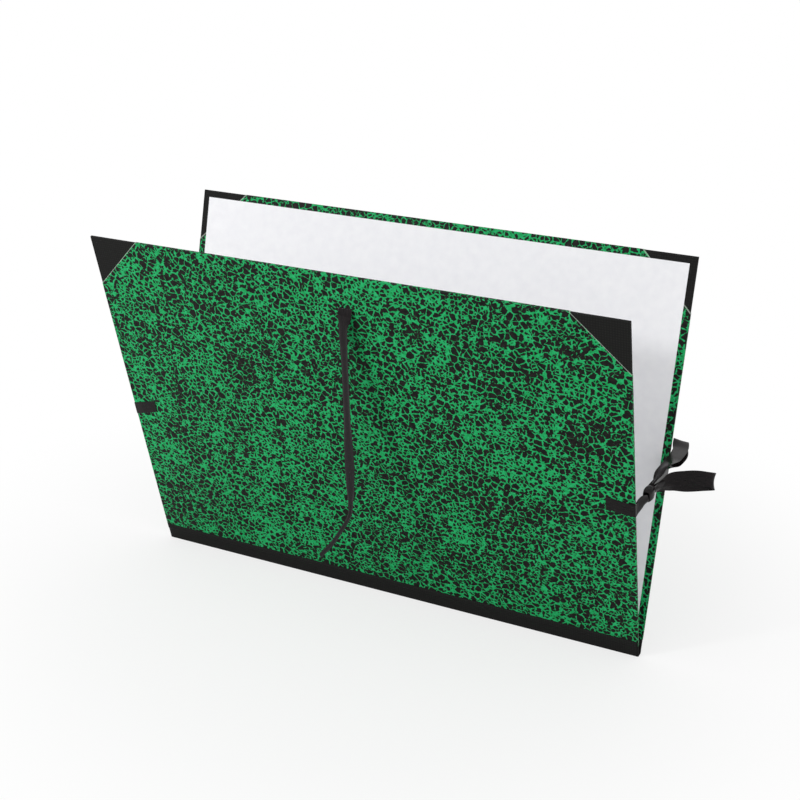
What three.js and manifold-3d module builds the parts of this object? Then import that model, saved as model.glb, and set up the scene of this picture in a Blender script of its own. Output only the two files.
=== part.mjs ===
// A drawing portfolio: two greyboard covers joined by a cloth spine, dressed in marbled paper
// with cloth corners, lined with white paper and tied with ribbons through slots in the covers.
// It stands open in a V on its spine. Millimetres, +Z up, +X along the spine, -Y the front.
// The origin is the middle of the spine's underside.
//
// A cover is drawn flat in its own terms: u along the spine, v up the cover from the fold line,
// w outward from the middle plane of the closed portfolio. A level is a distance from a board's
// surface, so the layers on a board are stacked by their levels.
import * as THREE from 'three';
import { mergeVertices } from 'three/addons/utils/BufferGeometryUtils.js';
import Module from 'manifold-3d';

const wasm = await Module();
wasm.setup();

// Covers
const coverWidth = 720;
const coverHeight = 512;
const boardThickness = 2;
const halfGap = 2.5; // from the middle plane to a board's inner face
const boardFoot = 1; // the board's lower edge, above the fold line
const frontLean = 14.4; // degrees outward from upright
const backLean = 14.4;

// Layers
const glueLine = 0.1;
const clothThickness = 0.35;
const paperThickness = 0.25;
const liningThickness = 0.25;
const layerClearance = 0.1;
const joinStep = 0.06;

// Cloth and paper outlines
const cornerLeg = 72; // along both edges from the corner
const spineClothHeight = 24; // up the outside of each cover
const paperLap = 4; // marbled paper over the cloth's edges
const turnIn = 15; // what goes round an edge and is glued inside
const liningMargin = 9; // from a cover's edge to its lining
const liningFoot = 14;
const jointClothHeight = 28; // up the inside of each cover

// Ribbons
const ribbonWidth = 19;
const ribbonThickness = 0.5;
const slotLength = 21;
const slotWidth = 1.3;
const slotInset = 35; // side slots, from a cover's side edge
const sideSlotHeight = 250;
const topSlotDrop = 44; // top slots, below the cover's top edge
const topSlotShift = 5;
const tabLength = 36; // glued between board and lining
const bendRadius = 0.5;
const rightRibbonDrop = 4; // of the front ribbons, from their slots to the cover's side edges
const leftRibbonDrop = 10;
const backRibbonDrop = 4;
const hangingLength = 345;
const hangingGap = 2.5; // between a hanging ribbon and its slot's mouth

// Knots
const knotReach = 7.2; // outward from a cover's side edge
const knotForward = 36; // in front of the middle plane
const knotRise = -1; // above the side slots' height up the cover
const knotLength = 16;
const knotDepth = 15;
const knotThickness = 10;
const knotTurn = 0.09; // outward, per mm through the knot
const knotTilt = 0.19; // upward
const gatheredWidth = 11; // a ribbon's width inside a knot
const strandSpacing = 1.8;
const frontLoopLayers = [1.7, 0.6]; // where the strands lie in a knot, in spacings from its middle
const backLoopLayers = [-1.2, -0.3];
const drawnLayer = -2.1; // the back ribbon on its way in
const turnLayer = -1.65; // halfway to its loop
const strandRise = 4; // of the front ribbon, between the cover and the knot
const sideLoopReach = 62; // outward from the knot
const rearLoopReach = 126; // backward
const droopingLoopReach = 54; // downward

const colours = {
  board: 0x8f8b80,
  cloth: 0x1f1f1f,
  marbled: 0x1c9a5c,
  lining: 0xf2f2f5,
  ribbon: 0x15130f,
};
const roughness = { board: 0.9, cloth: 0.75, marbled: 0.55, lining: 0.85, ribbon: 0.5 };

// What follows from the sizes
const boardOuter = halfGap + boardThickness;
const halfWidth = coverWidth / 2;
const clothLevel = glueLine + clothThickness;
const paperInnerLevel = clothLevel + layerClearance;
const paperLevel = paperInnerLevel + paperThickness;
const liningInnerLevel = paperLevel + layerClearance;
const liningLevel = liningInnerLevel + liningThickness;
const ribbonLevel = paperLevel + layerClearance + ribbonThickness / 2;
const tabLevel = glueLine + layerClearance + ribbonThickness / 2;
const sideSlot = halfWidth - slotInset;
const topSlot = coverHeight - topSlotDrop;
const lean = { front: THREE.MathUtils.degToRad(frontLean), back: THREE.MathUtils.degToRad(backLean) };
const steepest = Math.max(lean.front, lean.back);
// The spine cloth is as thick as it is high under the lowest corner of a board.
const foldHeight = clothThickness + (boardOuter + glueLine) * Math.sin(steepest)
  - (boardFoot - glueLine) * Math.cos(steepest);

function material(name) {
  return new THREE.MeshStandardMaterial({
    color: colours[name],
    roughness: roughness[name],
    metalness: 0,
  });
}

// Joining and cutting closed meshes

function toSolid(geometry) {
  const bare = geometry.clone();
  bare.deleteAttribute('normal');
  bare.deleteAttribute('uv');
  const merged = mergeVertices(bare, 1e-5);
  const vertProperties = new Float32Array(merged.attributes.position.array);
  const triVerts = new Uint32Array(merged.index.array);
  return new wasm.Manifold(new wasm.Mesh({ numProp: 3, vertProperties, triVerts }));
}

function toGeometry(solid) {
  const mesh = solid.getMesh();
  const geometry = new THREE.BufferGeometry();
  const places = new Float32Array(mesh.vertProperties);
  geometry.setAttribute('position', new THREE.BufferAttribute(places, 3));
  geometry.setIndex(Array.from(mesh.triVerts));
  geometry.computeVertexNormals();
  return geometry;
}

function join(...geometries) {
  return toGeometry(geometries.map(toSolid).reduce((whole, piece) => whole.add(piece)));
}

function cut(geometry, ...tools) {
  return toGeometry(tools.map(toSolid).reduce((whole, tool) => whole.subtract(tool), toSolid(geometry)));
}

function common(geometry, tool) {
  return toGeometry(toSolid(geometry).intersect(toSolid(tool)));
}

// Flat shapes in a cover's own terms: x is u, y is w and z is v

function block([u0, u1], [w0, w1], [v0, v1]) {
  const box = new THREE.BoxGeometry(u1 - u0, w1 - w0, v1 - v0);
  box.translate((u0 + u1) / 2, (w0 + w1) / 2, (v0 + v1) / 2);
  return box;
}

function slab(outline, [w0, w1]) {
  const shape = new THREE.Shape(outline.map(([u, v]) => new THREE.Vector2(u, v)));
  const solid = new THREE.ExtrudeGeometry(shape, { depth: w1 - w0, bevelEnabled: false });
  solid.rotateX(Math.PI / 2);
  solid.translate(0, w1, 0);
  return solid;
}

// A sheet wrapped over a board's face and its top and side edges, and turned in inside

function wrapped(innerLevel, outerLevel, foot) {
  const reach = halfWidth + outerLevel;
  const hold = halfWidth + innerLevel;
  const whole = block(
    [-reach, reach],
    [halfGap - outerLevel, boardOuter + outerLevel],
    [foot, coverHeight + outerLevel],
  );
  const hollow = block(
    [-hold, hold],
    [halfGap - innerLevel, boardOuter + innerLevel],
    [foot - 1, coverHeight + innerLevel],
  );
  const window = block(
    [turnIn - halfWidth, halfWidth - turnIn],
    [halfGap - outerLevel - 1, halfGap + 0.5],
    [foot - 1, coverHeight - turnIn],
  );
  return cut(whole, hollow, window);
}

function cornerPrism(hand, leg) {
  const past = 5;
  const outline = [
    [hand * (halfWidth - leg - past), coverHeight + past],
    [hand * (halfWidth + past), coverHeight - leg - past],
    [hand * (halfWidth + past), coverHeight + past],
  ];
  return slab(hand > 0 ? outline : outline.reverse(), [halfGap - past, boardOuter + past]);
}

function slots() {
  const through = [halfGap - 5, boardOuter + 5];
  const side = (hand) => block(
    [hand * sideSlot - slotWidth / 2, hand * sideSlot + slotWidth / 2],
    through,
    [sideSlotHeight - slotLength / 2, sideSlotHeight + slotLength / 2],
  );
  const top = block(
    [topSlotShift - slotLength / 2, topSlotShift + slotLength / 2],
    through,
    [topSlot - slotWidth / 2, topSlot + slotWidth / 2],
  );
  return [side(-1), side(1), top];
}

function board() {
  return cut(
    block([-halfWidth, halfWidth], [halfGap, boardOuter], [boardFoot, coverHeight]),
    ...slots(),
  );
}

function marbledPaper() {
  const sheet = wrapped(paperInnerLevel, paperLevel, spineClothHeight - paperLap);
  const leg = cornerLeg - paperLap;
  return cut(sheet, cornerPrism(-1, leg), cornerPrism(1, leg), ...slots());
}

function cornerCloth(hand) {
  return common(wrapped(glueLine, clothLevel, 0), cornerPrism(hand, cornerLeg));
}

function lining() {
  const edge = halfWidth - liningMargin;
  return block(
    [-edge, edge],
    [halfGap - liningLevel, halfGap - liningInnerLevel],
    [liningFoot, coverHeight - liningMargin],
  );
}

// From a cover's own terms to the standing portfolio: side is -1 for the front, 1 for the back

function standing(side, u, v, w) {
  const angle = side < 0 ? lean.front : lean.back;
  return new THREE.Vector3(
    u,
    side * (w * Math.cos(angle) + v * Math.sin(angle)),
    foldHeight + v * Math.cos(angle) - w * Math.sin(angle),
  );
}

function stood(side, geometry) {
  const turned = geometry.index ? geometry.toNonIndexed() : geometry.clone();
  const places = turned.attributes.position;
  for (let i = 0; i < places.count; i += 1) {
    const p = standing(side, places.getX(i), places.getZ(i), places.getY(i));
    places.setXYZ(i, p.x, p.y, p.z);
  }
  if (side < 0) {
    for (let i = 0; i < places.count; i += 3) {
      const a = new THREE.Vector3().fromBufferAttribute(places, i);
      const c = new THREE.Vector3().fromBufferAttribute(places, i + 2);
      places.setXYZ(i, c.x, c.y, c.z);
      places.setXYZ(i + 2, a.x, a.y, a.z);
    }
  }
  turned.computeVertexNormals();
  return turned;
}

// The spine: a section across both covers, run along the whole width

function acrossSpine(section, halfLength) {
  const shape = new THREE.Shape(section.map((p) => new THREE.Vector2(p.y, p.z)));
  const run = new THREE.ExtrudeGeometry(shape, { depth: 2 * halfLength, bevelEnabled: false });
  // The section's plane is turned so that its x runs along +Y and its y along +Z.
  run.rotateX(Math.PI / 2);
  run.rotateZ(Math.PI / 2);
  run.translate(-halfLength, 0, 0);
  return run;
}

// Where the cloth's outer face on one cover comes down to a given height
function cornerAt(side, w, height) {
  const angle = side < 0 ? lean.front : lean.back;
  const v = (height - foldHeight + w * Math.sin(angle)) / Math.cos(angle);
  return standing(side, 0, v, w);
}

function roundedCorner(before, corner, after, radius) {
  const start = corner.clone().add(before.clone().sub(corner).setLength(radius));
  const end = corner.clone().add(after.clone().sub(corner).setLength(radius));
  return new THREE.QuadraticBezierCurve3(start, corner, end).getPoints(4);
}

function spineCloth() {
  const outer = boardOuter + clothLevel;
  const inner = boardOuter + glueLine;
  const radius = 0.4; // of the two long edges that the portfolio stands on
  const top = {
    front: standing(-1, 0, spineClothHeight, outer),
    back: standing(1, 0, spineClothHeight, outer),
  };
  const corner = { front: cornerAt(-1, outer, 0), back: cornerAt(1, outer, 0) };
  const section = [
    top.front,
    ...roundedCorner(top.front, corner.front, corner.back, radius),
    ...roundedCorner(corner.front, corner.back, top.back, radius),
    top.back,
    standing(1, 0, spineClothHeight, inner),
    cornerAt(1, inner, clothThickness),
    cornerAt(-1, inner, clothThickness),
    standing(-1, 0, spineClothHeight, inner),
  ];
  const pieces = [acrossSpine(section, halfWidth + clothLevel)];
  for (const side of [-1, 1]) {
    for (const hand of [-1, 1]) {
      // The turned-in ends stop a hair inside the run's own faces, so that they join cleanly.
      const reach = halfWidth + clothLevel - joinStep;
      const edge = [halfWidth + glueLine, reach];
      const inside = [halfWidth - turnIn, reach];
      const order = (range) => (hand > 0 ? range : [-range[1], -range[0]]);
      const seam = boardOuter + glueLine + clothThickness / 2;
      const rise = [boardFoot + joinStep, spineClothHeight - 5 * joinStep];
      pieces.push(stood(side, join(
        block(order(edge), [halfGap - clothLevel, seam], rise),
        block(order(inside), [halfGap - clothLevel, halfGap - glueLine], rise),
      )));
    }
  }
  return join(...pieces);
}

function jointCloth() {
  const near = halfGap - glueLine;
  const far = halfGap - clothLevel;
  const foot = clothThickness + layerClearance;
  const section = [
    standing(-1, 0, jointClothHeight, near),
    cornerAt(-1, near, foot),
    cornerAt(1, near, foot),
    standing(1, 0, jointClothHeight, near),
    standing(1, 0, jointClothHeight, far),
    cornerAt(1, far, foot + clothThickness),
    cornerAt(-1, far, foot + clothThickness),
    standing(-1, 0, jointClothHeight, far),
  ];
  return acrossSpine(section, halfWidth - turnIn - 1);
}

// Ribbons. A station is a place on the ribbon's middle line, with the direction of its width
// and its width there. A creased station's width lies along a fold, also where the ribbon slants.

function station(place, across, width = ribbonWidth, creased = false) {
  return { place, across, width, creased };
}

// Each inner station becomes a small arc, so that the ribbon folds over an edge with a radius.
function folded(stations, radius) {
  const path = [stations[0]];
  for (let i = 1; i < stations.length - 1; i += 1) {
    const here = stations[i];
    const back = stations[i - 1].place.clone().sub(here.place);
    const on = stations[i + 1].place.clone().sub(here.place);
    const pull = Math.min(radius, back.length() / 3, on.length() / 3);
    const start = here.place.clone().add(back.setLength(pull));
    const end = here.place.clone().add(on.setLength(pull));
    const arc = new THREE.QuadraticBezierCurve3(start, here.place, end).getPoints(4);
    path.push(...arc.map((place) => station(place, here.across, here.width, here.creased)));
  }
  path.push(stations[stations.length - 1]);
  return path;
}

// A smooth line through the stations, with the width and its direction blended between them.
function flowing(stations, steps) {
  const curve = new THREE.CatmullRomCurve3(stations.map((s) => s.place), false, 'centripetal');
  return Array.from({ length: steps + 1 }, (_, i) => {
    const along = (i / steps) * (stations.length - 1);
    const k = Math.min(Math.floor(along), stations.length - 2);
    const across = stations[k].across.clone().lerp(stations[k + 1].across, along - k);
    const width = THREE.MathUtils.lerp(stations[k].width, stations[k + 1].width, along - k);
    return station(curve.getPoint(i / steps), across.normalize(), width);
  });
}

function strap(path, closed = false) {
  const count = path.length;
  const places = [];
  path.forEach((here, i) => {
    const before = path[closed ? (i + count - 1) % count : Math.max(i - 1, 0)].place;
    const after = path[closed ? (i + 1) % count : Math.min(i + 1, count - 1)].place;
    const along = after.clone().sub(before).normalize();
    const square = here.across.clone().addScaledVector(along, -here.across.dot(along)).normalize();
    const across = here.creased ? here.across : square;
    const face = along.clone().cross(across).normalize();
    for (const [a, f] of [[-1, -1], [1, -1], [1, 1], [-1, 1]]) {
      const corner = here.place.clone()
        .addScaledVector(across, (a * here.width) / 2)
        .addScaledVector(face, (f * ribbonThickness) / 2);
      places.push(corner.x, corner.y, corner.z);
    }
  });
  const index = [];
  const last = closed ? count : count - 1;
  for (let i = 0; i < last; i += 1) {
    const a = 4 * i;
    const b = 4 * ((i + 1) % count);
    // Opposite faces are split along parallel diagonals, so that a twisted strap keeps its thickness.
    for (const [k, n] of [[0, 1], [1, 2]]) {
      index.push(a + k, a + n, b + n, a + k, b + n, b + k);
    }
    for (const [k, n] of [[2, 3], [3, 0]]) {
      index.push(a + k, a + n, b + k, a + n, b + n, b + k);
    }
  }
  if (!closed) {
    const e = 4 * (count - 1);
    index.push(0, 2, 1, 0, 3, 2, e, e + 1, e + 2, e, e + 2, e + 3);
  }
  const geometry = new THREE.BufferGeometry();
  geometry.setAttribute('position', new THREE.Float32BufferAttribute(places, 3));
  geometry.setIndex(index);
  geometry.computeVertexNormals();
  return geometry;
}

// From the glued tab, out through a side slot, across the face and round the cover's side edge.
// The ribbon slants by its drop and keeps its slope through every fold, as a flat strip does.
function sideRun(side, hand, drop) {
  const up = standing(side, 0, 1, 0).sub(standing(side, 0, 0, 0));
  const face = boardOuter + ribbonLevel;
  const inner = halfGap - tabLevel;
  const past = halfWidth + ribbonLevel + 3 * layerClearance;
  const bulge = halfWidth - slotInset / 3;
  // Each place has its length along the strip, counted from where it comes out of the slot.
  const at = (u, w, length) => {
    const v = sideSlotHeight - (drop / slotInset) * length;
    return station(standing(side, hand * u, v, w), up, ribbonWidth, true);
  };
  return [
    at(sideSlot - tabLength, inner, inner - face - tabLength),
    at(sideSlot, inner, inner - face),
    at(sideSlot, face, 0),
    at(bulge, face + bendRadius, bulge - sideSlot),
    at(past, face, past - sideSlot),
    at(past, halfGap, past - sideSlot + face - halfGap),
  ];
}

// The knot's own directions: through it from front to back, up it, and out of the cover's side
function knotFrame(hand) {
  const centre = new THREE.Vector3(hand * (halfWidth + knotReach), -knotForward, sideSlotHeight + knotRise);
  const through = new THREE.Vector3(hand * knotTurn, 1, knotTilt).normalize();
  const up = new THREE.Vector3(0, 0, 1).addScaledVector(through, -through.z).normalize();
  const out = up.clone().cross(through).multiplyScalar(-hand);
  const at = (s, t, n) => centre.clone()
    .addScaledVector(through, s)
    .addScaledVector(up, t)
    .addScaledVector(out, n);
  // A strand held in the knot, at a distance along it and in one of its layers
  const held = (s, layer) => station(at(s, 0, layer * strandSpacing), up, gatheredWidth);
  return { centre, through, at, held };
}

function knotBand(hand) {
  const knot = knotFrame(hand);
  const steps = 20;
  // The band's section is a superellipse: a flat pinched ring with round ends.
  const pinched = (x) => Math.sign(x) * Math.sqrt(Math.abs(x));
  const path = Array.from({ length: steps }, (_, i) => {
    const turn = (2 * Math.PI * (i + 0.5)) / steps;
    const rise = (knotDepth / 2) * pinched(Math.cos(turn));
    const out = (knotThickness / 2) * pinched(Math.sin(turn));
    return station(knot.at(0, rise, out), knot.through, knotLength);
  });
  return strap(path, true);
}

// A loop of a bow, out of the knot and back into it
function loop(hand, layers, reach, points) {
  const knot = knotFrame(hand);
  const inside = -knotLength / 4;
  const mouth = knotLength / 2 + 1;
  const middle = points.map(([out, backward, rise, width, across]) => station(
    knot.centre.clone().addScaledVector(new THREE.Vector3(hand * out, backward, rise), reach),
    new THREE.Vector3(hand * across[0], across[1], across[2]).normalize(),
    width * ribbonWidth,
  ));
  return [
    knot.held(inside, layers[0]),
    knot.held(mouth, layers[0]),
    ...middle,
    knot.held(mouth, layers[1]),
    knot.held(inside, layers[1]),
  ];
}

// Each row is a place on a loop, in shares of the loop's reach: outward, backward and upward
// from the knot. Then come its width, in shares of the ribbon's, and the width's direction.
const upright = [0, 0, 1];
const sideLoop = [
  [0.13, 0.44, 0.04, 0.75, upright],
  [0.27, 0.59, 0.11, 0.95, upright],
  [0.49, 0.66, 0.15, 1, upright],
  [0.74, 0.69, 0.2, 1, upright],
  [0.94, 0.74, 0.17, 1, upright],
  [1, 0.8, 0.13, 1, upright],
  [0.97, 0.86, 0.08, 1, upright],
  [0.78, 0.9, -0.01, 1, upright],
  [0.5, 0.85, -0.07, 1, upright],
  [0.27, 0.7, -0.03, 0.95, upright],
  [0.15, 0.47, 0, 0.75, upright],
];
const rearLoop = [
  [0.03, 0.26, 0.15, 0.7, [1, 0, 0.4]],
  [0.07, 0.55, 0.15, 0.95, [1, 0, 0]],
  [0.055, 0.83, 0.145, 1, [1, 0, 0]],
  [0.01, 0.98, 0.155, 1, [1, 0, -0.15]],
  [0, 1, 0.125, 1, [1, 0, -0.15]],
  [0.01, 0.97, 0.095, 1, [1, 0, -0.15]],
  [0.055, 0.83, 0.07, 1, [1, 0, 0]],
  [0.07, 0.55, 0.09, 0.95, [1, 0, 0]],
  [0.03, 0.26, 0.12, 0.7, [1, 0, 0.4]],
];
const droopingLoop = [
  [0.13, 0.44, 0, 0.7, upright],
  [0.2, 0.63, -0.26, 1, [0.3, 1, 0.3]],
  [0.24, 0.7, -0.81, 1, [0.3, 1, 0]],
  [0.19, 0.72, -1, 1, [0.3, 1, 0]],
  [0.11, 0.7, -0.81, 1, [0.3, 1, 0]],
  [0.06, 0.56, -0.26, 0.8, [0.3, 1, 0.3]],
];

// The front ribbon rises from the cover's edge, goes through the knot and makes a loop.
function tiedFrontRibbon(hand, drop, reach, points) {
  const run = sideRun(-1, hand, drop);
  const knot = knotFrame(hand);
  const edge = run[run.length - 1];
  const entry = knot.held(-knotLength / 2 - 1, frontLoopLayers[0]);
  const rising = station(
    edge.place.clone().lerp(entry.place, 0.4).add(new THREE.Vector3(0, 0, strandRise)),
    new THREE.Vector3(0, 0, 1),
    0.9 * ribbonWidth,
  );
  const bow = loop(hand, frontLoopLayers, reach, points);
  return strap([...folded(run, bendRadius), rising, entry, ...flowing(bow, 40)]);
}

// The back ribbon is drawn forward into the knot, turns back inside it and makes the rear loop.
function tiedBackRibbon(hand) {
  const run = sideRun(1, hand, backRibbonDrop);
  const knot = knotFrame(hand);
  const turn = -knotLength / 4;
  const inward = [
    knot.held(knotLength / 2 + 2, drawnLayer),
    knot.held(turn, drawnLayer),
    knot.held(turn - 1, turnLayer),
  ];
  const rear = loop(hand, backLoopLayers, rearLoopReach, rearLoop);
  return strap([...folded(run, bendRadius), ...inward, ...flowing(rear, 40)]);
}

// A top ribbon comes out of its slot, folds over and hangs straight down, free of the cover.
// Each row of its fall is a share of the hanging length down, one sideways, a share of the width,
// and the width's direction: along the cover and away from it.
const fall = [
  [0.026, 0, 1, [1, 0]],
  [0.075, -0.006, 0.79, [0.96, 0.28]],
  [0.23, -0.001, 0.74, [0.92, 0.39]],
  [0.4, 0.004, 0.76, [0.92, 0.39]],
  [0.54, 0.01, 0.9, [0.95, 0.31]],
  [0.6, 0.012, 0.95, [0.95, 0.31]],
  [0.68, 0.0135, 0.85, [0.94, 0.34]],
  [0.75, 0.0135, 0.63, [0.9, 0.43]],
  [0.785, 0.012, 0.53, [0.85, 0.53]],
  [0.82, 0, 0.5, [0.8, 0.6]],
  [0.865, -0.025, 0.5, [0.8, 0.6]],
  [0.935, -0.068, 0.53, [0.8, 0.6]],
  [1, -0.121, 0.5, [0.8, 0.6]],
];

function hangingRibbon(side) {
  const along = new THREE.Vector3(1, 0, 0);
  const at = (v, w) => standing(side, topSlotShift, v, w);
  const mouth = at(topSlot, boardOuter + ribbonLevel);
  const free = fall.map(([drop, shift, width, [sideways, away]]) => station(
    mouth.clone().add(new THREE.Vector3(shift * hangingLength, side * hangingGap, -drop * hangingLength)),
    new THREE.Vector3(sideways, side * away, 0).normalize(),
    width * ribbonWidth,
  ));
  const tab = [
    station(at(topSlot - tabLength, halfGap - tabLevel), along),
    station(at(topSlot, halfGap - tabLevel), along),
    station(mouth, along),
    station(free[0].place, along),
  ];
  return strap([...folded(tab, bendRadius), ...flowing(free, 48).slice(1)]);
}

// The assembly

const portfolio = new THREE.Group();

function add(name, geometry, surface) {
  const mesh = new THREE.Mesh(geometry, material(surface));
  mesh.name = name;
  portfolio.add(mesh);
}

for (const [name, side] of [['front', -1], ['back', 1]]) {
  add(`${name}_board`, stood(side, board()), 'board');
  add(`${name}_marbled_paper`, stood(side, marbledPaper()), 'marbled');
  add(`${name}_corner_cloth_left`, stood(side, cornerCloth(-1)), 'cloth');
  add(`${name}_corner_cloth_right`, stood(side, cornerCloth(1)), 'cloth');
  add(`${name}_lining`, stood(side, lining()), 'lining');
  add(`${name}_ribbon_top`, hangingRibbon(side), 'ribbon');
}
add('spine_cloth', spineCloth(), 'cloth');
add('joint_cloth', jointCloth(), 'cloth');
add('front_ribbon_right', tiedFrontRibbon(1, rightRibbonDrop, sideLoopReach, sideLoop), 'ribbon');
add('back_ribbon_right', tiedBackRibbon(1), 'ribbon');
add('right_knot', knotBand(1), 'ribbon');
add('left_knot', knotBand(-1), 'ribbon');
add('front_ribbon_left', tiedFrontRibbon(-1, leftRibbonDrop, droopingLoopReach, droopingLoop), 'ribbon');
add('back_ribbon_left', tiedBackRibbon(-1), 'ribbon');

export default portfolio;
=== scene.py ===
"""A drawing portfolio of marbled paper and book cloth, open in a V and tied with ribbons."""

import math

import bpy
import numpy as np
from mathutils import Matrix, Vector

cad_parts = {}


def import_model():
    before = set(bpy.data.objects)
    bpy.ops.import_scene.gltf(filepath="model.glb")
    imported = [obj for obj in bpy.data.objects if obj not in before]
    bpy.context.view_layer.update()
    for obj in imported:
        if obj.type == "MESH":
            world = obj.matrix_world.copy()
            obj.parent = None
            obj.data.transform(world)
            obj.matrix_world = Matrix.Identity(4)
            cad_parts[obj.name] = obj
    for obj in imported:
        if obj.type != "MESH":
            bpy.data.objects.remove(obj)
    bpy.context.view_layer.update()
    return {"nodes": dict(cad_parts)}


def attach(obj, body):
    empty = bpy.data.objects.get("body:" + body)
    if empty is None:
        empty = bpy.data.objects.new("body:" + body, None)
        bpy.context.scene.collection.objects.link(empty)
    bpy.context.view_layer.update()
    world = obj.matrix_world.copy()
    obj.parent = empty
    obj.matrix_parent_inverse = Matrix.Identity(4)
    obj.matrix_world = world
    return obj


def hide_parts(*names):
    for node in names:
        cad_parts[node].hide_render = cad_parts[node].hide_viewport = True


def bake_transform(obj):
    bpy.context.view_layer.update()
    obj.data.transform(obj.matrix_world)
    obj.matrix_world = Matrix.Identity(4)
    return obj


MM = 0.001

# The covers, in metres, as the frame holds them. Levels count from a board's surface to the
# middle of a sheet, and heights go up the cover from the fold.
HALF_WIDTH = 360 * MM
COVER_HEIGHT = 512 * MM
BOARD_OUTER = 4.5 * MM
BOARD_INNER = 2.5 * MM
BOARD_FOOT = 1 * MM
FOLD_HEIGHT = 0.622 * MM
PAPER_LEVEL = 0.8 * MM
PAPER_CORNER = 68 * MM
LEAN = math.radians(14.4)

# The book cloth. The spine's cloth steps up over the paper's foot by LAP_STEP.
CLOTH_THICKNESS = 0.35 * MM
CLOTH_LEVEL = 0.275 * MM
LAP_LEVEL = 1.0 * MM
SPINE_CLOTH_HEIGHT = 28 * MM
LAP_FOOT = 19.8 * MM
LAP_STEP = 1.2 * MM
JOINT_CLOTH_HEIGHT = 28 * MM
JOINT_CLOTH_FOOT = 0.625 * MM
JOINT_CLOTH_MARGIN = 1 * MM
TURN_IN = 15 * MM
FOLD_RADIUS = 0.6 * MM

# The ribbons
RIBBON_WIDTH = 19 * MM
RIBBON_THICKNESS = 0.4 * MM
GATHERED_WIDTH = 11 * MM
PLEAT = 1.2 * MM
SLOT_INSET = 35 * MM
SIDE_SLOT_HEIGHT = 250 * MM
TOP_SLOT = 468 * MM
TOP_SLOT_SHIFT = 5 * MM
TAB_LENGTH = 36 * MM
RIBBON_LEVEL = 1.15 * MM
TAB_LEVEL = 0.45 * MM
BEND_RADIUS = 0.5 * MM
EDGE_SLACK = 0.3 * MM
RIGHT_RIBBON_DROP = 4 * MM
LEFT_RIBBON_DROP = 10 * MM
BACK_RIBBON_DROP = 4 * MM
HANGING_LENGTH = 345 * MM
HANGING_GAP = 2.5 * MM

# The knots. Layers count outward from a knot's centre, in strands, and a rising strand's
# middle station is RISE_SHARE of the way to the knot and lifted by STRAND_RISE.
KNOT_REACH = 7.2 * MM
KNOT_FORWARD = 36 * MM
KNOT_HEIGHT = 249 * MM
KNOT_LENGTH = 16 * MM
KNOT_DEPTH = 15 * MM
KNOT_THICKNESS = 10 * MM
KNOT_CROWN = 1.6 * MM
STRAND_SPACING = 1.8 * MM
STRAND_RISE = 4 * MM
RISE_SHARE = 0.4
KNOT_LIP = 1 * MM
KNOT_THROUGH = (0.09, 1, 0.19)
FRONT_LAYERS = (1.7, 0.6)
BACK_LAYERS = (-1.2, -0.3)
BACK_STRAND_LAYER = -2.1
BACK_TURN_LAYER = -1.65
SIDE_LOOP_REACH = 62 * MM
REAR_LOOP_REACH = 126 * MM
DROOPING_LOOP_REACH = 54 * MM

# The camera, fitted to the covers' corners in the photograph
CAMERA_AZIMUTH = 26.693
CAMERA_ELEVATION = 22.861
CAMERA_DISTANCE = 1.8825
CAMERA_TARGET = (0.01684, 0.0, 0.29017)
FOCAL_PIXELS = 1445.2
PICTURE_PIXELS = 800
SENSOR_MM = 36
CLIP_END = 20

# The light. Each lamp has its name, its azimuth and elevation in degrees, its distance and size
# in metres, and its power in watts.
LAMPS = [
    ("key", -32, 27, 2.6, 0.28, 19),
    ("fill", 75, 30, 2.8, 2.0, 4),
    ("top", 10, 72, 2.6, 1.8, 4),
]
LAMP_TARGET = (0, 0, 0.25)
# The surround looks white but lights the object less, and the floor fades into it between
# two distances from the middle.
SURROUND_LIGHT = 0.75
FLOOR_FADE_START = 0.35
FLOOR_FADE_END = 0.8

# How finely a strap is drawn: points round its section, and steps along it
SECTION_POINTS = 48
FOLD_POINTS = 7
STRAND_STEPS = 12
LOOP_STEPS = 160
FALL_STEPS = 200
KNOT_STEPS = 64

COLOURS = {
    "paint_black": "070908",
    "paint_brown": "1d1917",
    "paint_green": "10964f",
    "paint_bright_green": "24b06a",
    "paper_core": "b9c4b9",
    "cloth_thread": "1f1f1e",
    "cloth_gap": "121211",
    "lining": "f3f3f5",
    "lining_shade": "eeeef1",
    "satin": "070607",
    # The satin's lighter streak colour is a painted sheen.
    "satin_float_sheen": "1c1718",
    "board": "8d887b",
    "board_fleck": "6d685d",
    "floor": "f4f4f4",
}


def linear(name):
    """The named colour as linear red, green, blue and alpha."""
    digits = COLOURS[name]
    parts = [int(digits[i : i + 2], 16) / 255 for i in (0, 2, 4)]
    return [c / 12.92 if c <= 0.04045 else ((c + 0.055) / 1.055) ** 2.4 for c in parts] + [1]


# Materials


def new_material(name):
    """An empty node material: the material and its node tree."""
    material = bpy.data.materials.new(name)
    material.use_nodes = True
    material.node_tree.nodes.clear()
    return material, material.node_tree


def add(tree, kind, settings=None, inputs=None, out=0):
    """Adds a node with its settings, values and links, and returns one of its outputs."""
    node = tree.nodes.new(kind)
    for key, value in (settings or {}).items():
        setattr(node, key, value)
    for key, value in (inputs or {}).items():
        if isinstance(value, bpy.types.NodeSocket):
            tree.links.new(value, node.inputs[key])
        else:
            node.inputs[key].default_value = value
    return node.outputs[out] if len(node.outputs) else None


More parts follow.
